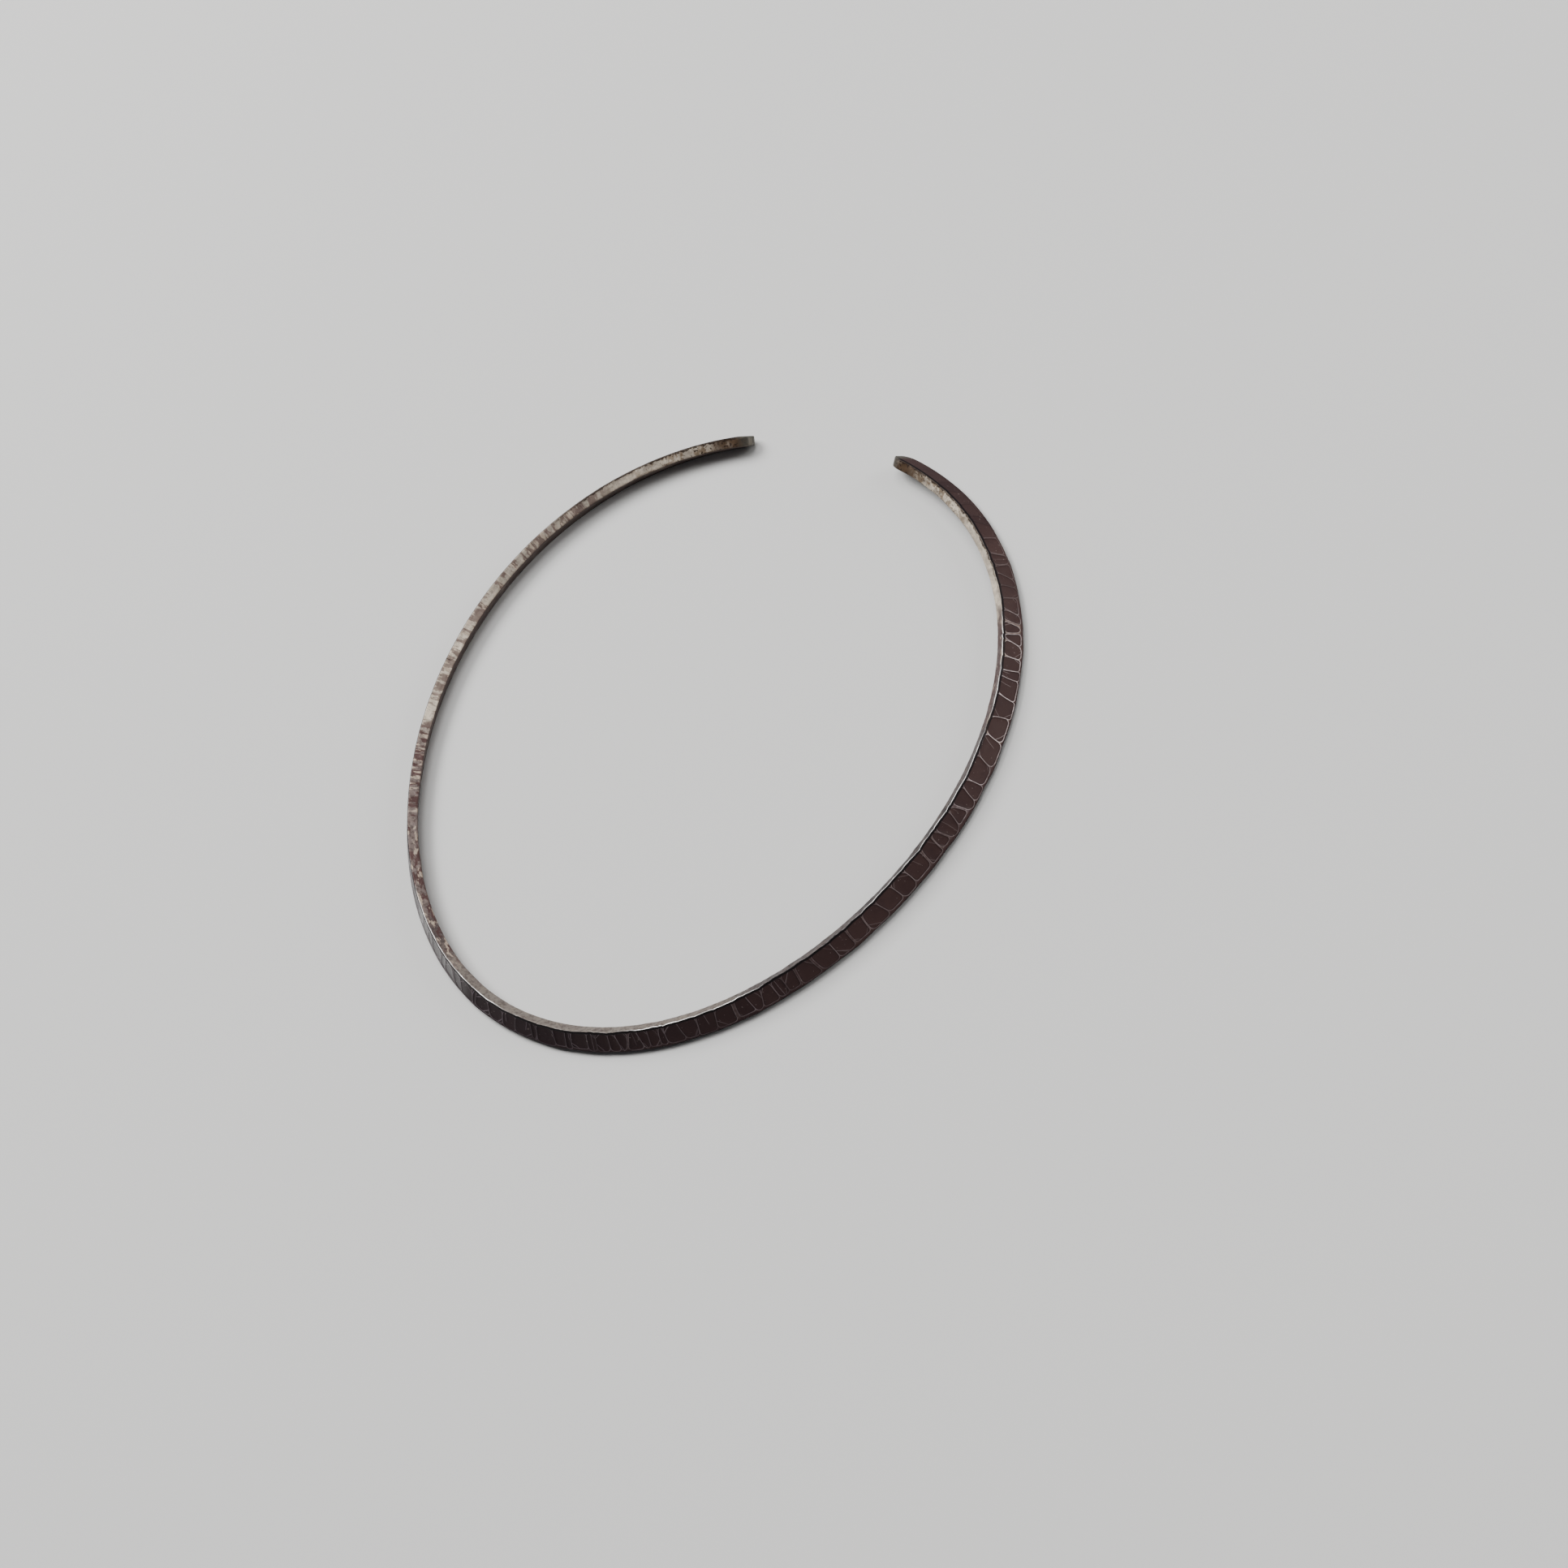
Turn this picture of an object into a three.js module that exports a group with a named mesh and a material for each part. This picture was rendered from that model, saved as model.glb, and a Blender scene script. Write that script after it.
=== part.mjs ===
// A torc: an open neck ring of hammered silver bar, lying flat as it does when nobody wears it.
// It is one piece of flat bar, bent edge to edge into a ring that stays open at the back.
// The broad outer face carries a row of hammer facets with raised ridges between them, and
// leans back, so the ring is a shallow cone that sits on the collarbones.
// Millimetres, +Z up. The front of the ring is at -Y, the opening at +Y.
// The origin is the middle of the bounding box, on the surface that the ring lies on.
import * as THREE from "three";

// The ring, seen from above.
const ringRadius = 67; // to the upper outer edge of the bar, on average
const ringLobe = 1.15; // the hand-bent ring swells by this at the front and at both shoulders
const lobes = 3;
const endGap = 37; // straight across the opening, between the upper edges of the two ends

// The bar's section.
const barWidth = 4.5; // across the hammered face
const barThickness = 2.2;
const faceLeanDegrees = 35; // of the hammered face, from upright
const edgeRadius = 0.3; // the corners are worn round
const restFlat = 0.6; // the lowest corner is worn to a narrow flat

// The hammering.
const facetLength = 3; // along the bar, on average
const facetDepth = 0.13; // of a facet's middle below its ridges
const ridgeLean = 1.7; // the most that a ridge's foot lies ahead of its head, along the bar
const ridgeGap = 0.35; // two ridges come no closer than this
const edgeWave = 0.12; // the blows push the edges in and out by this
const calmLength = 28; // towards each end the facets are long and faint
const calmStretch = 1.6; // how much longer they are there

// The two ends.
const endTaper = 3.4; // length over which an end rounds off
const endWidth = 1.1; // width of the bar at its very end
const endThin = 0.25; // the end is this much thinner on the outer face

const faceLean = THREE.MathUtils.degToRad(faceLeanDegrees);
const leanSin = Math.sin(faceLean);
const leanCos = Math.cos(faceLean);
const flatRise = restFlat * leanSin * leanCos; // height worn off the lowest corner
const upperEdgeHeight = barWidth * leanCos + barThickness * leanSin - flatRise;

// Repeatable random numbers from 0 to 1, by multiplying in a prime field.
const drawSeed = 20011;
const drawFactor = 48271;
const drawPrime = 2147483647;
let drawn = drawSeed;
function draw() {
  drawn = (drawn * drawFactor) % drawPrime;
  return drawn / drawPrime;
}

// Distance from the ring's middle to its upper outer edge. The angle is 0 at the front.
function edgeRadiusAt(angle) {
  return ringRadius + ringLobe * Math.cos(lobes * angle);
}

function edgePoint(angle) {
  const r = edgeRadiusAt(angle);
  return new THREE.Vector3(r * Math.sin(angle), -r * Math.cos(angle), upperEdgeHeight);
}

// The angle from the front to an end, so that the two ends stand endGap apart.
function endAngle() {
  let fromBack = 0;
  for (let pass = 0; pass < 8; pass++) {
    fromBack = Math.asin(endGap / 2 / edgeRadiusAt(Math.PI - fromBack));
  }
  return Math.PI - fromBack;
}

// The upper outer edge, walked from the left end to the right one, with its length so far.
function walkEdge() {
  const steps = 2000;
  const last = endAngle();
  const points = [];
  let length = 0;
  for (let i = 0; i <= steps; i++) {
    const angle = last * ((2 * i) / steps - 1);
    const place = edgePoint(angle);
    if (i > 0) length += place.distanceTo(points[i - 1].place);
    points.push({ angle, place, length });
  }
  return points;
}

const edgeWalk = walkEdge();
const barLength = edgeWalk.at(-1).length;

// The angle that lies a given length along the bar. Outside the bar it runs on at the same pace.
function angleAlong(length) {
  const steps = edgeWalk.length - 1;
  let low = 0;
  let high = steps;
  while (high - low > 1) {
    const middle = (low + high) >> 1;
    if (edgeWalk[middle].length <= length) low = middle;
    else high = middle;
  }
  const a = edgeWalk[low];
  const b = edgeWalk[high];
  return a.angle + ((b.angle - a.angle) * (length - a.length)) / (b.length - a.length);
}

// Where the bar's section stands: its upper outer corner, and the two directions of its sides.
function standAt(length) {
  const angle = angleAlong(length);
  const tiny = 1e-4;
  const along = edgePoint(angle + tiny).sub(edgePoint(angle - tiny)).normalize();
  const outward = new THREE.Vector3(along.y, -along.x, 0);
  const up = new THREE.Vector3(0, 0, 1);
  return {
    corner: edgePoint(angle),
    downFace: outward.clone().multiplyScalar(leanSin).addScaledVector(up, -leanCos),
    faceNormal: outward.clone().multiplyScalar(leanCos).addScaledVector(up, leanSin),
  };
}

// 1 at an end of the bar, falling to 0 where the close hammering begins.
function calmAt(length) {
  const toEnd = Math.min(length, barLength - length);
  return THREE.MathUtils.clamp(1 - toEnd / calmLength, 0, 1);
}

// The ridges from the left end to the right: each has its place, its lean along the bar, how far
// the upper and lower edges are pushed out at it, and the depth of the facet that follows it.
function hammerRidges() {
  const list = [];
  const stop = barLength - endTaper;
  let at = endTaper;
  let lean = 0;
  while (at < stop - 2 * ridgeLean) {
    const calm = calmAt(at);
    const upper = edgeWave * (2 * draw() - 1);
    const lower = edgeWave * (2 * draw() - 1);
    const depth = facetDepth * (0.6 + 0.8 * draw()) * (1 - 0.7 * calm);
    list.push({ at, lean, upper, lower, depth });
    const step = facetLength * (0.4 + 1.2 * draw()) * (1 + calmStretch * calm);
    const nextLean = ridgeLean * (2 * draw() - 1) * (1 - calm);
    at += Math.max(step, Math.abs(nextLean - lean) / 2 + ridgeGap);
    lean = nextLean;
  }
  list.push({ at: stop, lean: 0, upper: 0, lower: 0, depth: 0 });
  return list;
}

// How far an end's rounding has come in, by the distance from the very end: 1 there, 0 past the taper.
function roundingAt(fromEnd) {
  const share = THREE.MathUtils.clamp(1 - fromEnd / endTaper, 0, 1);
  return 1 - Math.sqrt(1 - share * share);
}

// One section of the bar as points that run down the face and back up the inside.
// Each point is its distance down the face and its depth behind it.
function sectionOutline({ upper, lower, dent, rounding }) {
  const cutIn = ((barWidth - endWidth) / 2) * rounding;
  const thin = endThin * rounding;
  const top = cutIn - upper * (1 - rounding);
  const bottom = barWidth - cutIn + lower * (1 - rounding);
  const faceHeight = bottom - top - 2 * edgeRadius;
  const outline = [0, 0.2, 0.5, 0.8, 1].map((share) => {
    const edgeShare = share === 0 || share === 1 ? 0.45 : 1;
    return [top + edgeRadius + faceHeight * share, thin + dent * edgeShare];
  });
  const restEdge = barThickness - flatRise / leanSin;
  outline.push([bottom, thin + edgeRadius + dent * 0.3]);
  outline.push([barWidth - cutIn, restEdge]);
  outline.push([barWidth - cutIn - flatRise / leanCos, barThickness]);
  outline.push([cutIn + edgeRadius, barThickness]);
  outline.push([cutIn, barThickness - edgeRadius]);
  outline.push([top, thin + edgeRadius + dent * 0.3]);
  return outline;
}

// The stations from end to end: the rounded left end, three for every facet, the rounded right end.
function stations() {
  const ridges = hammerRidges();
  const list = [];
  const endShares = [0, 0.06, 0.2, 0.45, 0.75];
  const plain = { lean: 0, upper: 0, lower: 0, dent: 0 };
  for (const share of endShares) {
    const fromEnd = endTaper * share;
    list.push({ ...plain, at: fromEnd, rounding: roundingAt(fromEnd) });
  }
  ridges.forEach((ridge, i) => {
    list.push({ ...ridge, dent: 0, rounding: 0 });
    const next = ridges[i + 1];
    if (!next) return;
    for (const share of [0.28, 0.72]) {
      const mix = (name) => THREE.MathUtils.lerp(ridge[name], next[name], share);
      const station = { at: mix("at"), lean: mix("lean"), upper: mix("upper"), lower: mix("lower") };
      list.push({ ...station, dent: ridge.depth, rounding: 0 });
    }
  });
  for (const share of endShares.toReversed()) {
    const fromEnd = endTaper * share;
    list.push({ ...plain, at: barLength - fromEnd, rounding: roundingAt(fromEnd) });
  }
  return list;
}

// The closed skin of the bar: quads between neighbouring stations, and a fan on each end.
function barGeometry() {
  const positions = [];
  const rings = stations().map((station) => {
    return sectionOutline(station).map(([down, deep]) => {
      const length = station.at + station.lean * (down / barWidth - 0.5);
      const { corner, downFace, faceNormal } = standAt(length);
      corner.addScaledVector(downFace, down).addScaledVector(faceNormal, -deep);
      return positions.push(corner.x, corner.y, corner.z) / 3 - 1;
    });
  });
  const faces = [];
  for (let i = 1; i < rings.length; i++) {
    const before = rings[i - 1];
    const after = rings[i];
    before.forEach((corner, j) => {
      const k = (j + 1) % before.length;
      faces.push(corner, before[k], after[k], corner, after[k], after[j]);
    });
  }
  const first = rings[0];
  const last = rings.at(-1);
  for (let j = 2; j < first.length; j++) {
    faces.push(first[0], first[j], first[j - 1]);
    faces.push(last[0], last[j - 1], last[j]);
  }
  const geometry = new THREE.BufferGeometry();
  geometry.setAttribute("position", new THREE.Float32BufferAttribute(positions, 3));
  geometry.setIndex(faces);
  geometry.computeVertexNormals();
  return geometry;
}

function torc() {
  const geometry = barGeometry();
  geometry.computeBoundingBox();
  const middle = geometry.boundingBox.getCenter(new THREE.Vector3());
  geometry.translate(-middle.x, -middle.y, 0);
  const darkSilver = new THREE.MeshStandardMaterial({ color: 0x4a3a36, roughness: 0.42, metalness: 0.9 });
  const mesh = new THREE.Mesh(geometry, darkSilver);
  mesh.name = "torc";
  return mesh;
}

const group = new THREE.Group();
group.add(torc());

export default group;
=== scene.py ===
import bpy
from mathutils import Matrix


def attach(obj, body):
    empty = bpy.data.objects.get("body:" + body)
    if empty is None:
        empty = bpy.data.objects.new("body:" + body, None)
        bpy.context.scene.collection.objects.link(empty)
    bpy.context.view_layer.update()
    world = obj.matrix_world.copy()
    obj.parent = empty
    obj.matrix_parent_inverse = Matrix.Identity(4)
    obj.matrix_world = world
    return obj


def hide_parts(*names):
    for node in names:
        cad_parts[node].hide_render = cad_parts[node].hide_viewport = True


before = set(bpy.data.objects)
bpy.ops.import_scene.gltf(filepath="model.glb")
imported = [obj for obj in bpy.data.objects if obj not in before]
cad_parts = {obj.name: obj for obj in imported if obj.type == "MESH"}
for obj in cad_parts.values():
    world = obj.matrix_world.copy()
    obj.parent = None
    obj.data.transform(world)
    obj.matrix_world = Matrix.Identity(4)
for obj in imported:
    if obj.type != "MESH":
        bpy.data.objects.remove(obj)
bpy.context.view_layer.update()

from types import SimpleNamespace

import bpy
import numpy as np
from mathutils import Matrix, Vector

# The torc. A flat bar of silver, bent edge to edge into an open neck ring and hammered all over
# its broad outer face. The silver is darkened, then rubbed back, so it is pale on the ridges
# between the blows, on the corners and on the top edge. One piece, with nothing fixed to it.

MM = 0.001

# the ring and the bar in millimetres, as in the solid
RING_RADIUS, RING_LOBE, LOBES = 67.0, 1.15, 3
END_GAP = 37.0
BAR_WIDTH, BAR_THICKNESS = 4.5, 2.2
FACE_LEAN = np.radians(35.0)
EDGE_RADIUS, REST_FLAT = 0.3, 0.6
LEAN_SIN, LEAN_COS = np.sin(FACE_LEAN), np.cos(FACE_LEAN)
FLAT_RISE = REST_FLAT * LEAN_SIN * LEAN_COS
EDGE_HEIGHT = BAR_WIDTH * LEAN_COS + BAR_THICKNESS * LEAN_SIN - FLAT_RISE

# the hammering and the two ends, as in the solid
FACET_LENGTH, FACET_DEPTH = 3.0, 0.13
RIDGE_LEAN, RIDGE_GAP, EDGE_WAVE = 1.7, 0.35, 0.12
CALM_LENGTH, CALM_STRETCH = 28.0, 1.6
END_TAPER, END_WIDTH, END_THIN = 3.4, 1.1, 0.25
DRAW_SEED, DRAW_FACTOR, DRAW_PRIME = 20011, 48271, 2147483647

# the mesh: steps of the walk along the ring, lines across each facet and each rounded end, and
# columns down the face, round a corner or over the lower edge, and across the two other sides
WALK_STEPS, LINES_PER_FACET, END_LINES = 2000, 16, 18
FACE_COLUMNS, CORNER_COLUMNS, SIDE_COLUMNS = 24, 4, 5


def edge_radius(angle):
    """The ring's radius, which swells by a cosine of three times the angle from the front."""
    return RING_RADIUS + RING_LOBE * np.cos(LOBES * angle)


def edge_point(angle):
    """The upper outer edge: level, at that radius, with the front of the ring at -Y."""
    radius = edge_radius(angle)
    height = np.full_like(radius, EDGE_HEIGHT)
    return np.stack([radius * np.sin(angle), -radius * np.cos(angle), height], -1)


def end_angle():
    """The angle from the front to an end, found by repeating asin(half the gap / radius there)."""
    back = 0.0
    for _ in range(8):
        back = np.arcsin(END_GAP / 2 / edge_radius(np.pi - back))
    return np.pi - back


walk_angle = np.linspace(-end_angle(), end_angle(), WALK_STEPS + 1)
walk_gaps = np.linalg.norm(np.diff(edge_point(walk_angle), axis=0), axis=1)
walk_length = np.r_[0, np.cumsum(walk_gaps)]
BAR_LENGTH = walk_length[-1]


def angle_along(length):
    """The angle at a length along the bar: between the walk's points, and past them at its pace."""
    pace = (walk_angle[1] - walk_angle[0]) / (walk_length[1] - walk_length[0])
    within = np.interp(length, walk_length, walk_angle)
    return within + pace * (np.minimum(length, 0) + np.maximum(length - BAR_LENGTH, 0))


def stand_at(length):
    """The upper corner at a length, and the directions down the face and straight out of it.

    Both are square to the edge, whose own direction joins two points a tiny angle apart.
    """
    angle = angle_along(length)
    tiny = 1e-4
    forward = edge_point(angle + tiny) - edge_point(angle - tiny)
    forward /= np.linalg.norm(forward, axis=-1, keepdims=True)
    outward = np.stack([forward[..., 1], -forward[..., 0], np.zeros_like(angle)], -1)
    up = np.array([0.0, 0.0, 1.0])
    down_face = outward * LEAN_SIN - up * LEAN_COS
    face_normal = outward * LEAN_COS + up * LEAN_SIN
    return edge_point(angle), down_face, face_normal


def hammer_ridges():
    """The ridges' places, leans, edge pushes and facet depths, by the solid's repeatable draws.

    The next ridge stands a random step on, but at least half its change of lean and a gap.
    """
    state = DRAW_SEED

    def draw():
        nonlocal state
        state = state * DRAW_FACTOR % DRAW_PRIME
        return state / DRAW_PRIME

    rows, at, lean, stop = [], END_TAPER, 0.0, BAR_LENGTH - END_TAPER
    while at < stop - 2 * RIDGE_LEAN:
        calm = np.clip(1 - min(at, BAR_LENGTH - at) / CALM_LENGTH, 0, 1)
        upper = EDGE_WAVE * (2 * draw() - 1)
        lower = EDGE_WAVE * (2 * draw() - 1)
        depth = FACET_DEPTH * (0.6 + 0.8 * draw()) * (1 - 0.7 * calm)
        rows.append((at, lean, upper, lower, depth))
        step = FACET_LENGTH * (0.4 + 1.2 * draw()) * (1 + CALM_STRETCH * calm)
        next_lean = RIDGE_LEAN * (2 * draw() - 1) * (1 - calm)
        at += max(step, abs(next_lean - lean) / 2 + RIDGE_GAP)
        lean = next_lean
    rows.append((stop, 0.0, 0.0, 0.0, 0.0))
    return np.array(rows).T


ridge_at, ridge_lean, ridge_upper, ridge_lower, facet_depth = hammer_ridges()
facet_length = np.diff(ridge_at)
facets = len(facet_length)


def lengthwise_lines():
    """Every grid line from end to end: its place, lean, edge pushes, facet and share along it.

    In a facet the lines close up towards its ridges, by an even step mixed with a cosine. In a
    rounded end they close up towards the tip, by one minus a cosine.
    """
    even = np.arange(LINES_PER_FACET) / LINES_PER_FACET
    share = 0.45 * even + 0.55 * (1 - np.cos(np.pi * even)) / 2
    facet = np.r_[np.repeat(np.arange(facets), LINES_PER_FACET), facets - 1]
    share = np.r_[np.tile(share, facets), 1.0]

    def mix(values):
        return values[facet] * (1 - share) + values[facet + 1] * share

    mixed = [mix(values) for values in (ridge_at, ridge_lean, ridge_upper, ridge_lower)]
    middle = np.stack([*mixed, facet, share])
    turn = np.linspace(0, np.pi / 2, END_LINES, endpoint=False)
    from_end = END_TAPER * (1 - np.cos(turn))
    none, one = np.zeros(END_LINES), np.ones(END_LINES)
    left = np.stack([from_end, none, none, none, none, none])
    right = np.stack([BAR_LENGTH - from_end[::-1], none, none, none, one * (facets - 1), one])
    return np.concatenate([left, middle, right], axis=1)


at, lean, upper, lower, facet, share = lengthwise_lines()
facet = facet.astype(int)
from_end = np.minimum(at, BAR_LENGTH - at)
closing = np.clip(1 - from_end / END_TAPER, 0, 1)
rounding = 1 - np.sqrt(1 - closing**2)
open_share = (1 - rounding)[:, None]

# each blow bulges the upper corner beside it by a random part of this, as a parabola between
# its two ridges, and the corner dips at the ridges
SCALLOP = 0.16
scallop = SCALLOP * np.random.default_rng(23).random(facets)[facet]
scallop = scallop * (4 * share * (1 - share) - 0.5) * (closing == 0)


def section_columns():
    """The section at every line, as (down the face, behind it), and where each of its parts ends.

    It runs down the face, round the bar and back up. A corner is a quarter circle of EDGE_RADIUS,
    but the lowest is cut by the flat that the ring lies on.
    """
    cut = ((BAR_WIDTH - END_WIDTH) / 2 * rounding)[:, None]
    thin = (END_THIN * rounding)[:, None]
    top = cut - (upper + scallop)[:, None] * open_share
    bottom = BAR_WIDTH - cut + lower[:, None] * open_share
    r = EDGE_RADIUS
    even = np.linspace(0, 1, FACE_COLUMNS + 1)
    across = 0.6 * even + 0.4 * (1 - np.cos(np.pi * even)) / 2
    turn = np.linspace(0, np.pi / 2, CORNER_COLUMNS + 1)[1:]
    edge = np.linspace(0, 1, CORNER_COLUMNS + 1)[1:]
    side = np.linspace(0, 1, SIDE_COLUMNS + 1)[1:]
    inner_low = BAR_WIDTH - cut - FLAT_RISE / LEAN_COS
    rest_edge = BAR_THICKNESS - FLAT_RISE / LEAN_SIN
    parts = [
        (top + r + (bottom - top - 2 * r) * across, thin),
        (bottom - r + r * np.sin(turn), thin + r - r * np.cos(turn)),
        (bottom + (BAR_WIDTH - cut - bottom) * edge, thin + r + (rest_edge - thin - r) * edge),
        (inner_low, BAR_THICKNESS),
        (inner_low + (cut + r - inner_low) * side, BAR_THICKNESS),
        (cut + r - r * np.sin(turn), BAR_THICKNESS - r + r * np.cos(turn)),
        (cut + (top - cut) * side, BAR_THICKNESS - r + (thin + 2 * r - BAR_THICKNESS) * side),
        (top + r - r * np.cos(turn[:-1]), thin + r - r * np.sin(turn[:-1])),
    ]
    parts = [np.broadcast_arrays(*part) for part in parts]
    down = np.concatenate([part[0] for part in parts], axis=1)
    deep = np.concatenate([part[1] for part in parts], axis=1)
    return down, deep, np.cumsum([part[0].shape[1] for part in parts])


down, deep, part_ends = section_columns()
lower_edge_end, rest_end, inside_end, inner_corner_end, top_edge_end = part_ends[2:7]
columns = down.shape[1]


def side_share(first, last):
    """1 on the columns from first to last, with the corners beside them falling evenly to 0."""
    place = np.arange(columns)
    outside = np.maximum(first - place, place - last)
    return np.clip(1 - outside / CORNER_COLUMNS, 0, 1)


# the face's upper corner is the last part of the section, so it falls off at that end too
face_side = np.maximum(side_share(0, FACE_COLUMNS), side_share(columns, columns))
top_side = side_share(inner_corner_end, top_edge_end - 1)
inner_side = side_share(rest_end, inside_end)

# millimetres round the section from the top of the face: down the face and under the bar it
# counts up, and over the top edge and down the inside it counts below 0
plain_line = int(np.argmax(closing == 0))
round_x, round_y = down[plain_line], deep[plain_line]
steps = np.hypot(np.diff(round_x, append=round_x[0]), np.diff(round_y, append=round_y[0]))
round_bar = np.r_[0, np.cumsum(steps[:-1])]
round_bar = np.where(np.arange(columns) >= rest_end, round_bar - steps.sum(), round_bar)

# how each facet lies: its rim stands back from the ridges and the edges by these widths
chance = np.random.default_rng(417)
ridge_half = 0.02 + 0.3 * chance.random(facets + 1) ** 6
ridge_head = 0.75 * chance.random(facets + 1) ** 2
ridge_foot = 0.25 * chance.random(facets + 1) ** 3
ridge_bend = 0.3 * (2 * chance.random(facets + 1) - 1)
rim_top = 0.12 * chance.random(facets) ** 2
rim_bottom = 0.12 + 0.55 * chance.random(facets) ** 2
rim_round = 0.4 + 0.6 * chance.random(facets)
facet_shade = chance.random((facets, 2))
facet_tilt = 0.022 * (2 * chance.random((facets, 2)) - 1)

# each ridge is rubbed more or less than its neighbours
ridge_show = 0.45 + 0.75 * chance.random(facets + 1)
ridge_shown = ridge_show[facet + (share >= 0.5)]

# from -0.5 at the head of the face to 0.5 at its foot, and how far apart two ridges are there
face_place = down / BAR_WIDTH - 0.5
ridge_apart = facet_length[facet][:, None] + np.diff(ridge_lean)[facet][:, None] * face_place


def bow(place):
    """1 on the middle of the face, falling to 0 at its edges as a parabola, and 0 past them."""
    return np.clip(1 - 4 * place**2, 0, 1)


def distance_in_facet():
    """How deep a point is inside its facet: the signed distance in a rounded four-sided outline.

    Two sides are the ridges, whose half widths grow as exponentials towards their heads and feet.
    The other two are the bar's edges. In a rounded end it falls evenly from 0.5 to 0 at the tip.
    """
    f, s = facet[:, None], share[:, None]
    least_apart, spread, corner = 0.2, 0.55, 0.7 * EDGE_RADIUS
    apart = np.maximum(ridge_apart + np.diff(ridge_bend)[f] * bow(face_place), least_apart)
    head = np.exp(-np.clip(down, 0, None) / spread)
    foot = np.exp(-np.clip(BAR_WIDTH - down, 0, None) / spread)

    def half_width(ridge):
        return ridge_half[ridge] + ridge_head[ridge] * head + ridge_foot[ridge] * foot

    slope = np.cos(np.arctan(ridge_lean / BAR_WIDTH))
    left = s * apart * slope[f] - half_width(f)
    right = (1 - s) * apart * slope[f + 1] - half_width(f + 1)
    over = down - corner - rim_top[f]
    under = BAR_WIDTH - corner - rim_bottom[f] - down
    r = np.minimum(rim_round[f], 0.45 * facet_length[f])
    x, y = r - np.minimum(left, right), r - np.minimum(over, under)
    outside = np.hypot(np.maximum(x, 0), np.maximum(y, 0))
    distance = r - outside - np.minimum(np.maximum(x, y), 0)
    return np.where(closing[:, None] > 0, 0.5 * (1 - closing[:, None]), distance)


inside = distance_in_facet()


def crease_in_facet(seed, most):
    """The fine crease where two blows of one facet meet: a signed distance from it and a strength.

    It is a straight line between two points of the facet. Most creases cut off a corner, a few
    cross the whole face, and the rest run half way up it. The share of facets with one is most.
    """
    luck = np.random.default_rng(seed)
    kind, bit, wide, long = luck.random((4, facets))
    strength = np.where(kind < most, 0.35 + 0.65 * luck.random(facets), 0)
    corner_cut, crossing = kind < 0.52, kind < 0.60
    head, foot, fade = 0.1, 4.3, 0.3
    start_share = np.where(corner_cut, np.round(bit), 0.3 + 0.4 * bit)
    start_down = np.where(crossing, foot, 2.0 + 1.3 * long)
    start_down = np.where(corner_cut, 1.3 + 1.7 * long, start_down)
    finish_share = np.where(corner_cut, 0.35 + 0.35 * wide, start_share + 0.4 * (wide - 0.5))
    finish_down = np.where(corner_cut & (long > 0.6), foot, head)
    f = facet[:, None]
    step_x, step_y = (finish_share - start_share)[f] * ridge_apart, (finish_down - start_down)[f]
    off_x, off_y = (share[:, None] - start_share[f]) * ridge_apart, down - start_down[f]
    length = np.hypot(step_x, step_y)
    signed = (off_x * step_y - off_y * step_x) / length
    reach = (off_x * step_x + off_y * step_y) / length
    shown = np.clip(reach / fade + 0.6, 0, 1) * np.clip((length - reach) / fade + 0.6, 0, 1)
    shown = shown * np.clip(inside / 0.12, 0, 1) * (closing[:, None] == 0)
    return signed, shown * strength[f]


# the crease of each facet, and another that branches off it in some
crease_off, crease_strength = crease_in_facet(81, 0.75)
branch_off, branch_strength = crease_in_facet(82, 0.5)

# the length along the bar of every point: its line's, with the ridges' lean and bend
bend = (ridge_bend[facet] * (1 - share) + ridge_bend[facet + 1] * share) * (closing == 0)
along = at[:, None] + lean[:, None] * face_place + bend[:, None] * bow(face_place) * face_side


def waves(u, v, lengths, size, seed):
    """Soft uneven lumps: a sum of sine waves of the given lengths, at random turns and phases."""
    luck = np.random.default_rng(seed)
    total = np.zeros_like(u + v)
    for span in lengths:
        turn, phase = luck.random(2) * 2 * np.pi
        total = total + np.sin(2 * np.pi * (u * np.cos(turn) + v * np.sin(turn)) / span + phase)
    return size * total / np.sqrt(len(lengths))


def relief():
    """How far the skin sinks on the face, on the top edge and on the inside.

    On the face each blow is a flat hollow, tilted a little, that falls in from its rim as an
    exponential, and the creases rise in it as bell curves. The plain sides have soft lumps.
    """
    f = facet[:, None]
    rim_width, tilt_width, crease_width = 0.3, 0.25, 0.25
    from_rim = np.clip(inside, 0, None)
    on_crease = crease_strength * np.exp(-((crease_off / crease_width) ** 2))
    on_branch = branch_strength * np.exp(-((branch_off / crease_width) ** 2))
    hollow = facet_depth[f] * (1 - np.exp(-from_rim / rim_width))
    hollow = hollow * (1 - 0.7 * on_crease) * (1 - 0.5 * on_branch)
    # the hollows are fainter towards an end, down to a quarter of their depth
    hollow = hollow * np.clip((from_end[:, None] - 16) / 18, 0.25, 1)
    tilt = facet_tilt[f, 0] * (2 * share[:, None] - 1) + facet_tilt[f, 1] * 2 * face_place
    tilt = tilt * (1 - np.exp(-from_rim / tilt_width))
    on_face = hollow + tilt + waves(along, down, (1.1, 1.7, 2.3, 0.9), 0.006, 5)
    on_top = 0.02 + waves(along, deep, (2.1, 3.4, 2.7, 1.4, 5.0), 0.05, 8)
    on_inner = waves(along, down, (6.0, 9.0, 4.0), 0.03, 9)
    return on_face * face_side, on_top * top_side, on_inner * inner_side


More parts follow.
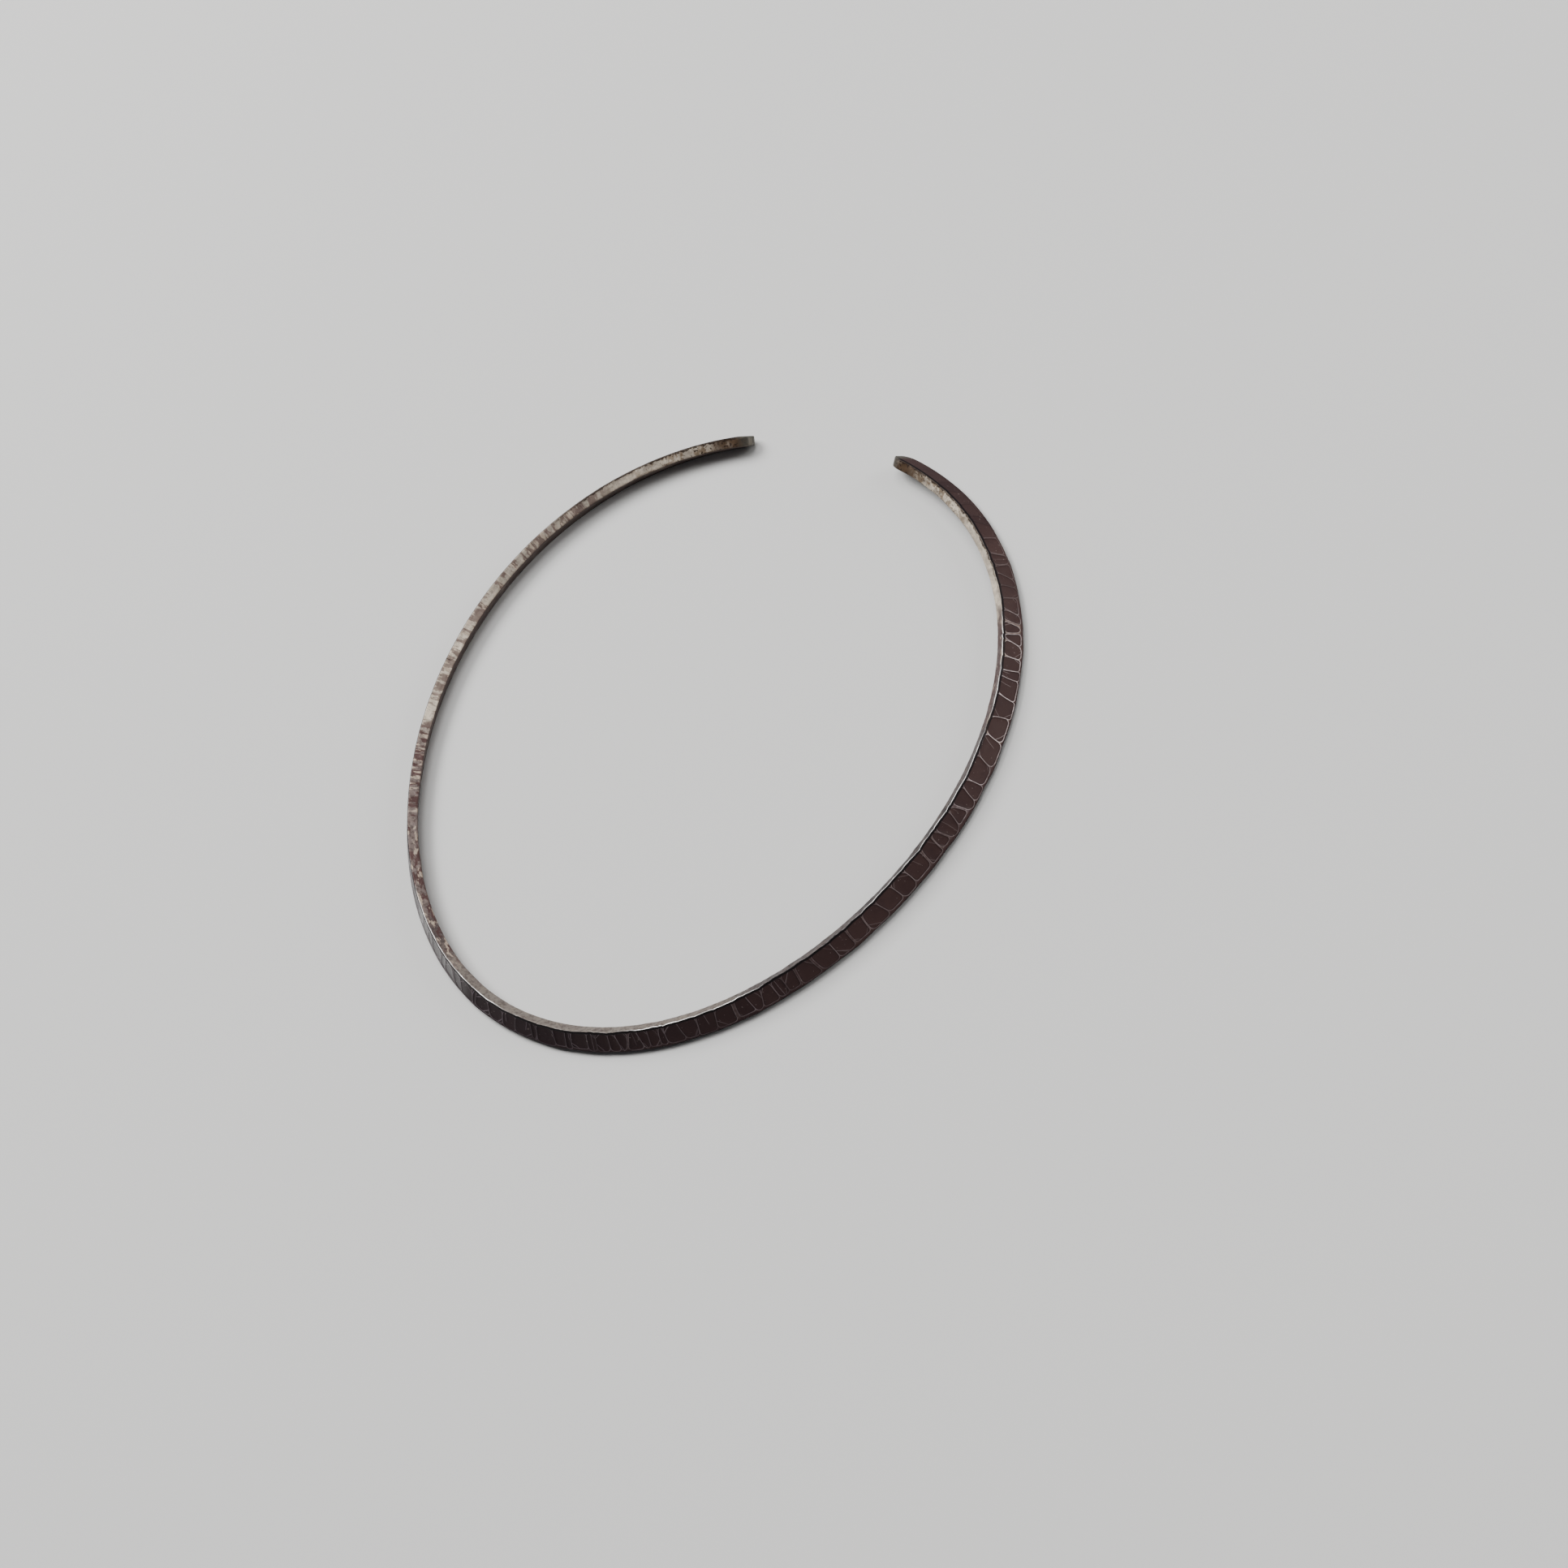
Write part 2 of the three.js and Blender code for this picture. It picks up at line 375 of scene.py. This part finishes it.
# the columns of the flat that the ring lies on, and their neighbours, stay as in the solid
face_sink, top_sink, inner_sink = relief()
inner_sink[:, lower_edge_end - 1 : rest_end + 1] = 0
down = down + top_sink * open_share
deep = deep + (face_sink - inner_sink) * open_share

corner, down_face, face_normal = stand_at(along)
points = corner + down[..., None] * down_face - deep[..., None] * face_normal

# the very ends are softened: their last lines draw in towards the middle of the bar, by a
# quarter circle of this radius
SOFT_END = 0.3
near = np.clip(SOFT_END - from_end, 0, None)
draw_in = (SOFT_END - np.sqrt(SOFT_END**2 - near**2)) / END_WIDTH
middle = points.mean(axis=1, keepdims=True)
points = middle + (points - middle) * (1 - draw_in)[:, None, None]

centre = (points.min(axis=(0, 1)) + points.max(axis=(0, 1))) / 2
centre[2] = 0
points = (points - centre) * MM


def stretches(*spans):
    """A sum of level stretches along the ring, as a column with one number for each line.

    A stretch is its first and last degree from the front, the degrees over which it fades in
    and out by a smooth step, and its height.
    """
    turn = np.degrees(angle_along(at))[:, None]
    total = np.zeros_like(turn)
    for first, last, fade, height in spans:
        share = np.clip(1 - np.maximum(first - turn, turn - last) / fade, 0, 1)
        total = total + height * share**2 * (3 - 2 * share)
    return total


# where the skin is rubbed off the ridges, the corner over the face and the top edge
rubbed_ridges = 0.15 + stretches(
    (-140, -60, 30, 0.5),
    (-45, -14, 8, 0.22),
    (10, 60, 10, 0.05),
    (72, 94, 8, 0.16),
    (98, 112, 11, 0.62),
)
rubbed_corner = 0.02 + stretches(
    (-38, -12, 6, 0.36),
    (22, 38, 6, 0.42),
    (66, 92, 8, 0.3),
    (104, 116, 5, 0.36),
)
rubbed_top = stretches(
    (-158, -80, 8, 0.85),
    (-76, -38, 8, 0.08),
    (-24, 34, 8, 0.2),
    (122, 158, 6, 1.0),
)

# where the face is nearly black and where it is glossy
dark_skin = stretches(
    (-180, -148, 20, 0.5),
    (-40, 8, 95, 0.7),
    (-40, 5, 15, 0.3),
    (148, 180, 20, 0.5),
)
glossy_skin = stretches((-100, -24, 9, 0.88))

# where the top edge is stained and flecked, and where its colour is toned down
stained_top = 0.1 + stretches(
    (-130, -84, 8, 0.7),
    (-74, -28, 9, 0.9),
    (102, 118, 6, 0.6),
)
toned_top = stretches(
    (-128, -108, 9, 0.35),
    (-33, -27, 5, 0.4),
    (38, 60, 8, 0.2),
    (66, 84, 6, 0.65),
)


def bar_mesh():
    """A grid closed round the bar, with a quad between two lines and two columns.

    A flat face closes each end. The layers carry what the material needs to know of each point.
    """
    rows = len(at)
    index = np.arange(rows * columns).reshape(rows, columns)
    turned = np.roll(index, -1, axis=1)
    quads = np.stack([index[:-1], turned[:-1], turned[1:], index[1:]], -1).reshape(-1, 4)
    faces = quads.tolist() + [index[0, ::-1].tolist(), index[-1].tolist()]
    mesh = bpy.data.meshes.new("torc_skin")
    mesh.from_pydata(points.reshape(-1, 3).tolist(), [], faces)
    mesh.polygons.foreach_set("use_smooth", np.ones(len(faces), bool))

    def layer(name, *three):
        """Gives every point three numbers, each known by point, by line or by column."""
        values = np.stack([np.broadcast_to(one, (rows, columns)) for one in three], -1)
        made = mesh.attributes.new(name, "FLOAT_VECTOR", "POINT")
        made.data.foreach_set("vector", values.astype(np.float32).ravel())

    # in millimetres: along the bar, round its section and from the nearer end
    layer("bar", along, round_bar, from_end[:, None])
    # the distance inside the facet's rim in millimetres, and two shades of the facet's own
    layer("blows", inside, facet_shade[facet, 0][:, None], facet_shade[facet, 1][:, None])
    layer("rubbed", rubbed_ridges, rubbed_top, rubbed_corner)
    layer("skin", dark_skin, stained_top, glossy_skin)
    layer("crease", crease_off, crease_strength, ridge_shown[:, None])
    layer("branch", branch_off, branch_strength, toned_top)
    mesh.update()
    return mesh


class Flow:
    """A value in a material. Arithmetic on it adds Math nodes, and node() adds any other kind."""

    def __init__(self, tree, socket=None):
        self.tree, self.socket = tree, socket

    def node(self, kind, values=(), settings=(), out=0):
        """Adds a node: its settings first, then its sockets' values or links, by name or number."""
        made = self.tree.nodes.new(kind)
        for key, value in dict(settings).items():
            setattr(made, key, value)
        for key, value in dict(values).items():
            if isinstance(value, Flow):
                self.tree.links.new(value.socket, made.inputs[key])
            else:
                made.inputs[key].default_value = value
        return None if out is None else Flow(self.tree, made.outputs[out])

    def colour(self, red, green, blue):
        """A plain colour."""
        made = self.node("ShaderNodeRGB")
        made.socket.default_value = (red, green, blue, 1)
        return made

    def math(self, operation, *values, clamp=False):
        """A Math node on these values or numbers."""
        settings = {"operation": operation, "use_clamp": clamp}
        return self.node("ShaderNodeMath", enumerate(values), settings)

    def __add__(self, other):
        return self.math("ADD", self, other)

    def __sub__(self, other):
        return self.math("SUBTRACT", self, other)

    def __rsub__(self, other):
        return self.math("SUBTRACT", other, self)

    def __mul__(self, other):
        return self.math("MULTIPLY", self, other)

    def __abs__(self):
        return self.math("ABSOLUTE", self)

    __radd__, __rmul__ = __add__, __mul__

    def clamped(self):
        """The value kept between 0 and 1."""
        return self.math("ADD", self, 0.0, clamp=True)

    def step(self, low, high):
        """0 below low, 1 above high and smooth between, or turned round where low is the larger."""
        ends = (low, high, 0.0, 1.0) if low < high else (high, low, 1.0, 0.0)
        values = dict(zip(("From Min", "From Max", "To Min", "To Max"), ends))
        settings = {"interpolation_type": "SMOOTHSTEP"}
        return self.node("ShaderNodeMapRange", {"Value": self, **values}, settings)

    def parts(self):
        """The three numbers of a vector."""
        first = self.node("ShaderNodeSeparateXYZ", {0: self})
        return [Flow(self.tree, socket) for socket in first.socket.node.outputs]

    def scaled(self, x, y, z):
        """A place in millimetres, as metres, with each direction scaled by a share of its own."""
        return self.node("ShaderNodeMapping", {0: self, "Scale": (x * MM, y * MM, z * MM)})

    def noise(self, span, detail=3.0, rough=0.5):
        """Noise from 0 to 1 in patches about span millimetres wide, read from a place in metres."""
        values = {"Vector": self, "Scale": 1 / (span * MM), "Detail": detail, "Roughness": rough}
        return self.node("ShaderNodeTexNoise", values, {"noise_dimensions": "3D"})

    def tint(self, colour, share):
        """This colour, going over to another by share."""
        colour = (*colour, 1) if isinstance(colour, tuple) else colour
        settings = {"data_type": "RGBA", "clamp_factor": True}
        return self.node("ShaderNodeMix", {0: share, 6: self, 7: colour}, settings, out=2)


def read_bar(tree):
    """All that the material reads at a point: its place, the mesh's layers, noises and sides."""
    here = SimpleNamespace(start=Flow(tree))

    def layer(name):
        return here.start.node("ShaderNodeAttribute", settings={"attribute_name": name}, out=1)

    here.place = here.start.node("ShaderNodeTexCoord", out=3)
    here.bar = layer("bar")
    here.length, here.round_bar, here.to_end = here.bar.parts()
    here.inside, here.shade, here.second_shade = layer("blows").parts()
    here.rubbed_ridges, here.rubbed_top, here.rubbed_corner = layer("rubbed").parts()
    here.dark, here.stained, here.glossy = layer("skin").parts()
    here.crease_off, here.crease_strength, here.ridge_shown = layer("crease").parts()
    here.branch_off, here.branch_strength, here.toned = layer("branch").parts()

    here.middling = here.place.noise(4.0, 3.0, 0.6)
    here.fine = here.place.noise(0.7, 3.0, 0.6)
    here.finest = here.place.noise(0.22, 2.0, 0.6)
    here.streaked = here.bar.scaled(0.3, 1.0, 0.3)
    here.streaks = here.streaked.noise(1.3, 3.0, 0.6)
    here.rim = here.inside + (here.fine - 0.5) * 0.12

    # the sides of the bar, by the millimetres round its section: the face runs from 0 to 3.9, the
    # top edge from -0.5 to -2.1 and the inside from -2.5 down, with round corners between them
    here.face = here.round_bar.step(-0.22, -0.12) * here.round_bar.step(4.3, 3.98)
    here.top = here.round_bar.step(-0.24, -0.34) * here.round_bar.step(-2.5, -2.15)
    here.inner = here.round_bar.step(-2.2, -2.5)
    here.under = here.round_bar.step(4.0, 4.3)
    return here


def rubbed_marks(here):
    """Masks on the face: the thin line on each facet's rim, the ridge between two, the creases."""
    shown = here.face * (here.to_end.step(24.0, 42.0) * 0.9 + 0.1)
    patchy = here.rubbed_ridges * (here.fine.step(0.3, 0.65) - 0.5) * 0.7
    rubbing = (here.rubbed_ridges + patchy) * here.ridge_shown
    line = here.rim.step(0.07, 0.02) * here.rim.step(-0.11, -0.03) * shown * rubbing
    at_foot = here.second_shade.step(0.25, 0.8) * 0.7 + 0.3
    line = (line * (here.round_bar.step(4.05, 3.5) * (1 - at_foot) + at_foot)).clamped()
    between = here.rim.step(0.0, -0.07) * here.round_bar.step(3.7, 3.2) * shown * rubbing
    wander = (here.fine - 0.5) * 0.16
    on_crease = abs(here.crease_off + wander).step(0.09, 0.02) * here.crease_strength
    on_branch = abs(here.branch_off + wander).step(0.09, 0.02) * here.branch_strength
    creased = (on_crease + on_branch).clamped() * shown
    return line, between, creased * here.rubbed_ridges * (here.dark * 1.2 + 0.45)


def skin_colour(here):
    """The dark satin skin of the facets, no two quite alike, with painted shade darkening it close
    under their rims.
    """
    brown = here.start.colour(0.054, 0.030, 0.028)
    skin = brown.tint((0.074, 0.042, 0.038), here.shade.step(0.2, 1.0) * 0.5)
    skin = skin.tint((0.034, 0.019, 0.021), here.middling.step(0.45, 0.7) * 0.4)
    skin = skin.tint((0.022, 0.013, 0.015), here.dark * (0.98 - here.shade * 0.08))
    # painted shade: a dark band just inside each facet's rim, where the hollow falls away from it
    painted_rim_shade = here.rim.step(0.34, 0.12) * here.rim.step(0.02, 0.12)
    return skin.tint((0.006, 0.004, 0.005), painted_rim_shade * 0.35)


def face_colour(here, line, between, creased):
    """The skin, and the metal that shows through it: on ridges, on creases, in specks and spots.

    A wide ridge is duller metal, or golden, between its two pale lines. Painted shade turns the
    face black where it rolls over to its top corner and to its foot.
    """
    golden = here.second_shade.step(0.55, 0.9) * here.rubbed_ridges
    metal = here.start.colour(0.24, 0.185, 0.19).tint((0.52, 0.385, 0.27), golden)
    colour = skin_colour(here).tint(metal, (between * 0.9).clamped())
    pale_line = here.start.colour(0.56, 0.47, 0.46).tint((0.42, 0.345, 0.39), here.dark)
    colour = colour.tint(pale_line, (line + creased).clamped())
    specks = here.place.noise(0.45, 1.0).step(0.735, 0.76) * here.face * 0.35
    worn_spots = here.place.noise(1.7, 2.0).step(0.70, 0.76) * here.face * 0.22
    colour = colour.tint((0.36, 0.30, 0.28), (specks + worn_spots).clamped())
    # painted shade: black bands where the face rolls over to its top corner and to its foot
    roll = here.round_bar.step(0.34, 0.12) + here.round_bar.step(3.94, 4.04)
    return colour.tint((0.005, 0.0035, 0.0045), roll.clamped() * 0.95)


def top_colour(here):
    """The top edge: grey, and pale gold in some stretches, with streaks, grain, stains and flecks.

    Stains and flecks run with the bar, but over the first 120 mm from its left end they lie in
    bands across it. Towards both ends the edge is smudged, brown, pitted and gnawed at its corner.
    """
    rubbed, to_end = here.rubbed_top.clamped(), here.to_end
    pale = here.start.colour(0.088, 0.080, 0.080)
    pale = pale.tint((0.175, 0.128, 0.120), here.stained * 0.9)
    pale = pale.tint((0.71, 0.615, 0.49), rubbed)
    pale = pale.tint((0.020, 0.018, 0.018), here.toned)
    pale = pale.tint((0.16, 0.130, 0.124), here.streaks.step(0.42, 0.62) * 0.4)
    grain = here.place.noise(0.6, 3.0, 0.6).step(0.47, 0.62)
    pale = pale.tint((0.036, 0.028, 0.027), grain * (0.55 - rubbed * 0.4))

    banded, with_bar = here.bar.scaled(1.0, 0.3, 0.3), here.streaked
    across = here.length.step(132.0, 120.0)
    stain = with_bar.noise(1.7, 4.0, 0.65) * (1 - across) + banded.noise(1.5, 4.0, 0.65) * across
    stains = stain.step(0.45, 0.54) * here.stained * 0.9
    pale = pale.tint((0.080, 0.042, 0.040), stains.clamped())
    fleck = with_bar.noise(1.0, 3.0, 0.6) * (1 - across) + banded.noise(0.9, 3.0, 0.6) * across
    flecks = fleck.step(0.55, 0.63) * here.stained * 0.75
    pale = pale.tint((0.56, 0.45, 0.35), flecks.clamped())

    smudges = here.place.noise(1.6, 4.0, 0.65).step(0.46, 0.6) * to_end.step(40.0, 14.0)
    pale = pale.tint((0.17, 0.115, 0.068), smudges * 0.8)
    browned = to_end.step(13.0, 5.0) * (here.middling.step(0.25, 0.5) * 0.5 + 0.5)
    pale = pale.tint((0.082, 0.050, 0.030), browned)
    gnawed = (here.round_bar + (here.fine - 0.5) * 1.3).step(-0.8, -0.5)
    gnawed = gnawed * to_end.step(55.0, 38.0) * 0.9
    pits = here.place.noise(0.5, 2.0).step(0.575, 0.64) * (to_end.step(34.0, 12.0) * 0.85 + 0.05)
    return pale.tint((0.030, 0.019, 0.015), (gnawed + pits).clamped())


def hidden_colours(here):
    """The dull inside of the bar, and its underside, a little rubbed where it rests."""
    inner = here.start.colour(0.085, 0.062, 0.056)
    inner = inner.tint((0.24, 0.20, 0.175), here.middling.step(0.55, 0.75) * 0.5)
    under = here.start.colour(0.02, 0.014, 0.014)
    under = under.tint((0.20, 0.17, 0.15), here.fine.step(0.5, 0.7) * 0.4)
    return inner, under


def burnished_corner(here):
    """A mask of the bright corner over the face, broken up by soft and by fine noise."""
    crest = here.round_bar.step(-0.40, -0.35) * here.round_bar.step(-0.20, -0.25)
    worn = here.rubbed_corner * (here.middling.step(0.3, 0.6) * 0.8 + 0.6) + (here.fine - 0.5) * 0.6
    return (crest * here.to_end.step(16.0, 45.0) * worn).clamped()


def silver_material():
    """Darkened silver, rubbed back to pale metal on the ridges, the corners and the top edge."""
    material = bpy.data.materials.new("oxidised_silver")
    material.use_nodes = True
    material.node_tree.nodes.clear()
    here = read_bar(material.node_tree)
    face, top, inner, under = here.face, here.top, here.inner, here.under

    line, between, creased = rubbed_marks(here)
    crest = burnished_corner(here)
    tip = here.to_end.step(3.2, 0.2) * 0.7
    inner_colour, under_colour = hidden_colours(here)
    colour = face_colour(here, line, between, creased).tint(top_colour(here), top)
    colour = colour.tint(inner_colour, inner).tint(under_colour, under)
    colour = colour.tint((0.88, 0.86, 0.84), crest)
    colour = colour.tint((0.15, 0.145, 0.125), tip)

    # bare metal shines: rubbed ridges, the corner and the handled tips most
    bright = (line * 0.6 + between * 0.5 + top * 0.35 + crest + inner * 0.3 + tip * 0.7).clamped()
    rough = 0.5 - bright * 0.06 - crest * 0.12 + (here.fine - 0.5) * 0.12
    rough = rough + (here.finest - 0.5) * 0.1 + here.dark * face * 0.15
    rough = rough + here.to_end.step(50.0, 26.0) * face * 0.45
    gloss = here.glossy * face * (1 - bright) * (here.shade * 0.4 + 0.72)
    gloss = gloss * (1 - here.rim.step(0.24, 0.08) * 0.5)

    # fine lumps all over, coarser where the top edge is stained or near an end
    lumps = top * (here.to_end.step(45.0, 20.0) + here.stained)
    height = here.fine * (lumps * 1.6 + 0.4) + here.finest * 0.25
    height = height + here.middling * 0.8 + here.streaks * top * 0.5
    bump_values = {"Strength": 0.35, "Distance": 0.06 * MM, "Height": height}
    bump = here.start.node("ShaderNodeBump", bump_values)

    varied = {"Base Color": colour, "Metallic": bright, "Roughness": rough, "Normal": bump}
    fixed = {"IOR": 1.2, "Coat Roughness": 0.25}
    values = {**varied, "Coat Weight": gloss, **fixed}
    surface = here.start.node("ShaderNodeBsdfPrincipled", values)
    here.start.node("ShaderNodeOutputMaterial", {"Surface": surface}, out=None)
    return material


torc = bpy.data.objects.new("torc_bar", bar_mesh())
bpy.context.scene.collection.objects.link(torc)
torc.data.materials.append(silver_material())
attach(torc, "root")
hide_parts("torc")

# The floor. A plain pale sheet of board that the ring lies on. It is one flat square, level
# with the ring's underside, and isn't part of the ring.

FLOOR_HALF = 5.0
floor_mesh = bpy.data.meshes.new("floor_sheet")
floor_turns = ((-1, -1), (1, -1), (1, 1), (-1, 1))
floor_corners = [(x * FLOOR_HALF, y * FLOOR_HALF, 0) for x, y in floor_turns]
floor_mesh.from_pydata(floor_corners, [], [(0, 1, 2, 3)])
floor = bpy.data.objects.new("floor", floor_mesh)
bpy.context.scene.collection.objects.link(floor)
board = bpy.data.materials.new("pale_floor")
board.use_nodes = True
board_shader = board.node_tree.nodes["Principled BSDF"]
board_shader.inputs["Base Color"].default_value = (0.72, 0.715, 0.70, 1)
board_shader.inputs["Roughness"].default_value = 0.9
floor_mesh.materials.append(board)

# The light. Three large soft panels of a plain studio: the main one behind the ring on the left
# of the picture, one lower on the right and one overhead, in a dim grey room.


def panel(name, place, size, watts):
    """A square soft panel that faces the ring from a place. Sizes and places are in metres."""
    lamp = bpy.data.lights.new(name, "AREA")
    lamp.shape, lamp.size, lamp.energy = "SQUARE", size, watts
    holder = bpy.data.objects.new(name, lamp)
    facing = (-Vector(place)).to_track_quat("-Z", "Y").to_matrix().to_4x4()
    holder.matrix_world = Matrix.Translation(place) @ facing
    bpy.context.scene.collection.objects.link(holder)


panel("main_panel", (-1.35, 0.45, 1.584), 1.26, 55.0)
panel("right_panel", (1.62, 0.99, 0.72), 0.9, 16.2)
panel("top_panel", (0.18, 0.63, 1.98), 1.44, 25.9)

ROOM_COLOUR, ROOM_STRENGTH = (0.30, 0.30, 0.32, 1), 0.25
world = bpy.data.worlds.new("room")
world.use_nodes = True
room = world.node_tree.nodes["Background"]
room.inputs["Color"].default_value = ROOM_COLOUR
room.inputs["Strength"].default_value = ROOM_STRENGTH
bpy.context.scene.world = world

# The camera. It stands to the ring as in the photograph, in front, to the right and above, with
# the picture turned as there. Its place is in millimetres from the middle of the circle of the
# upper edge, and its lens gives a view 32 degrees wide.

VIEW_FROM = Vector((337.66, -153.67, 390.68)) * MM
FORWARD = Vector((-0.5946, 0.2781, -0.7544)).normalized()
UPWARD = Vector((-0.18, 0.8684, 0.462))
SENSOR_WIDTH, LENS = 36.0, 62.77
NEAREST, FARTHEST = 0.01, 20.0
ring_centre = Vector((0.0, -centre[1], EDGE_HEIGHT)) * MM
sideways = FORWARD.cross(UPWARD).normalized()
upright = sideways.cross(FORWARD)
camera_data = bpy.data.cameras.new("camera")
camera_data.sensor_width, camera_data.lens = SENSOR_WIDTH, LENS
camera_data.clip_start, camera_data.clip_end = NEAREST, FARTHEST
camera = bpy.data.objects.new("camera", camera_data)
turn = Matrix((sideways, upright, -FORWARD)).transposed().to_4x4()
camera.matrix_world = Matrix.Translation(ring_centre + VIEW_FROM) @ turn
bpy.context.scene.collection.objects.link(camera)
bpy.context.scene.camera = camera

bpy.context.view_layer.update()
